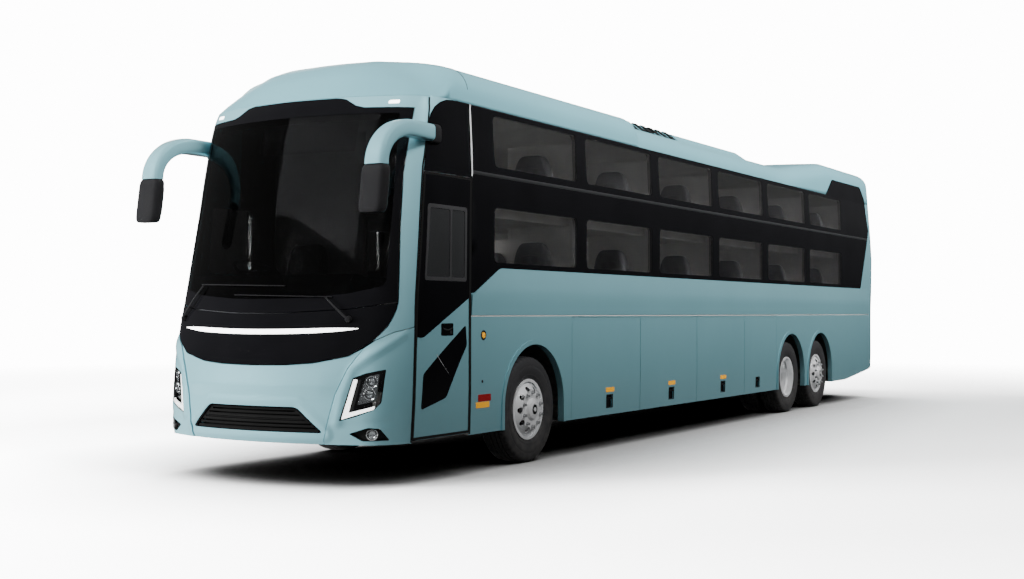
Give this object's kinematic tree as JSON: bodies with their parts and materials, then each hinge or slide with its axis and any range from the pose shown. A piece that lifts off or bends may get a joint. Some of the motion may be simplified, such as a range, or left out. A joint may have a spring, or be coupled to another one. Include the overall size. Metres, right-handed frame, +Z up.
{
  "type": "three-axle sleeper coach bus",
  "caption": "High-deck three-axle sleeper coach with a glazed nose, gliding front door, luggage flaps, engine lid, steered front wheels and berths inside.",
  "frame": {"origin": "on the ground, at the middle of the length and of the width", "axes": "+Z up, -Y ahead towards the nose, +X to the coach's left side"},
  "size_m": [2.764, 14.9934, 3.9898],
  "materials": {
    "body_paint": "metallic duck-egg blue, gloss",
    "roof_paint": "metallic duck-egg blue, lighter, gloss",
    "black_trim": "gloss black",
    "tinted_glass": "dark tint",
    "lamp_lens": "clear lens",
    "tail_lens": "red lens",
    "tyre_rubber": "matte",
    "polished_alloy": "polished",
    "chassis_steel": "satin black",
    "interior_panel": "light grey panel",
    "upholstery": "dark woven cover"
  },
  "bodies": {
    "root": {"berths": "interior_panel", "dashboard": "interior_panel", "drive_axle": "chassis_steel", "driver_seat": "upholstery", "engine": "chassis_steel", "floor_deck": "interior_panel", "front_axle": "chassis_steel", "front_corners": "body_paint", "front_lamps": "lamp_lens", "front_mask": "black_trim", "front_panel": "body_paint", "fuel_tank": "chassis_steel", "glazing": "tinted_glass", "intake_grille": "black_trim", "luggage_hold": "chassis_steel", "mattresses": "upholstery", "mirror_arms": "black_trim", "mirror_heads": "black_trim", "rear_bumper": "body_paint", "rear_wall": "body_paint", "roof": "roof_paint", "roof_cooler": "roof_paint", "side_wall_left": "body_paint", "side_wall_right": "body_paint", "skirts": "body_paint", "steering_wheel": "black_trim", "tag_axle": "chassis_steel", "tail_lamps": "tail_lens", "underframe": "chassis_steel", "wheel_arch_lips": "body_paint", "wheel_housings": "chassis_steel", "windshield": "tinted_glass", "windshield_frame": "black_trim", "wipers": "black_trim"},
    "wheel_front_left": {"tyre_front_left": "tyre_rubber", "rim_front_left": "polished_alloy"},
    "wheel_front_right": {"tyre_front_right": "tyre_rubber", "rim_front_right": "polished_alloy"},
    "wheel_drive_left": {"tyre_drive_left": "tyre_rubber", "rim_drive_left": "polished_alloy"},
    "wheel_drive_right": {"tyre_drive_right": "tyre_rubber", "rim_drive_right": "polished_alloy"},
    "wheel_tag_left": {"tyre_tag_left": "tyre_rubber", "rim_tag_left": "polished_alloy"},
    "wheel_tag_right": {"tyre_tag_right": "tyre_rubber", "rim_tag_right": "polished_alloy"},
    "knuckle_left": {"knuckle_left": "chassis_steel"},
    "knuckle_right": {"knuckle_right": "chassis_steel"},
    "door_arm": {"door_arm": "chassis_steel"},
    "door_leaf": {"door_leaf": "body_paint", "door_glass": "tinted_glass"},
    "engine_lid": {"engine_lid": "body_paint"},
    "flap_left_1": {"luggage_flap_left_1": "body_paint"},
    "flap_left_2": {"luggage_flap_left_2": "body_paint"},
    "flap_left_3": {"luggage_flap_left_3": "body_paint"},
    "flap_left_4": {"luggage_flap_left_4": "body_paint"},
    "flap_right_1": {"luggage_flap_right_1": "body_paint"},
    "flap_right_2": {"luggage_flap_right_2": "body_paint"},
    "flap_right_3": {"luggage_flap_right_3": "body_paint"},
    "flap_right_4": {"luggage_flap_right_4": "body_paint"}
  },
  "joints": [
    {"name": "steer_left", "type": "hinge", "parent": "root", "child": "knuckle_left", "pos_m": [0.915, -4.78, 0.522], "axis": [0, 0, 1], "range_deg": [-42, 42]},
    {"name": "steer_right", "type": "hinge", "parent": "root", "child": "knuckle_right", "pos_m": [-0.915, -4.78, 0.522], "axis": [0, 0, 1], "range_deg": [-42, 42]},
    {"name": "spin_front_left", "type": "hinge", "parent": "knuckle_left", "child": "wheel_front_left", "pos_m": [1.092, -4.78, 0.522], "axis": [1, 0, 0], "continuous": true},
    {"name": "spin_front_right", "type": "hinge", "parent": "knuckle_right", "child": "wheel_front_right", "pos_m": [-1.092, -4.78, 0.522], "axis": [1, 0, 0], "continuous": true},
    {"name": "spin_drive_left", "type": "hinge", "parent": "root", "child": "wheel_drive_left", "pos_m": [1.092, 2.98, 0.522], "axis": [1, 0, 0], "continuous": true},
    {"name": "spin_drive_right", "type": "hinge", "parent": "root", "child": "wheel_drive_right", "pos_m": [-1.092, 2.98, 0.522], "axis": [1, 0, 0], "continuous": true},
    {"name": "spin_tag_left", "type": "hinge", "parent": "root", "child": "wheel_tag_left", "pos_m": [1.092, 4.38, 0.522], "axis": [1, 0, 0], "continuous": true},
    {"name": "spin_tag_right", "type": "hinge", "parent": "root", "child": "wheel_tag_right", "pos_m": [-1.092, 4.38, 0.522], "axis": [1, 0, 0], "continuous": true},
    {"name": "door_swing", "type": "hinge", "parent": "root", "child": "door_arm", "pos_m": [1.12, -6.73, 1.5], "axis": [0, 0, -1], "range_deg": [0, 150]},
    {"name": "door_follow", "type": "hinge", "parent": "door_arm", "child": "door_leaf", "pos_m": [1.12, -6.25, 1.5], "axis": [0, 0, -1], "range_deg": [-150, 0]},
    {"name": "open_left_1", "type": "hinge", "parent": "root", "child": "flap_left_1", "pos_m": [1.29, -3.1585, 1.429], "axis": [0, -1, 0], "range_deg": [0, 85]},
    {"name": "open_left_2", "type": "hinge", "parent": "root", "child": "flap_left_2", "pos_m": [1.29, -1.4835, 1.429], "axis": [0, -1, 0], "range_deg": [0, 85]},
    {"name": "open_left_3", "type": "hinge", "parent": "root", "child": "flap_left_3", "pos_m": [1.29, 0.1915, 1.429], "axis": [0, -1, 0], "range_deg": [0, 85]},
    {"name": "open_left_4", "type": "hinge", "parent": "root", "child": "flap_left_4", "pos_m": [1.29, 1.682, 1.429], "axis": [0, -1, 0], "range_deg": [0, 85]},
    {"name": "open_right_1", "type": "hinge", "parent": "root", "child": "flap_right_1", "pos_m": [-1.29, -3.1585, 1.429], "axis": [0, 1, 0], "range_deg": [0, 85]},
    {"name": "open_right_2", "type": "hinge", "parent": "root", "child": "flap_right_2", "pos_m": [-1.29, -1.4835, 1.429], "axis": [0, 1, 0], "range_deg": [0, 85]},
    {"name": "open_right_3", "type": "hinge", "parent": "root", "child": "flap_right_3", "pos_m": [-1.29, 0.1915, 1.429], "axis": [0, 1, 0], "range_deg": [0, 85]},
    {"name": "open_right_4", "type": "hinge", "parent": "root", "child": "flap_right_4", "pos_m": [-1.29, 1.682, 1.429], "axis": [0, 1, 0], "range_deg": [0, 85]},
    {"name": "open_engine_lid", "type": "hinge", "parent": "root", "child": "engine_lid", "pos_m": [0, 7.4503, 1.531], "axis": [1, 0, 0], "range_deg": [0, 80]}
  ],
  "couplings": [
    {"joint": "steer_right", "follows": "steer_left", "ratio": 1},
    {"joint": "door_follow", "follows": "door_swing", "ratio": -1}
  ]
}
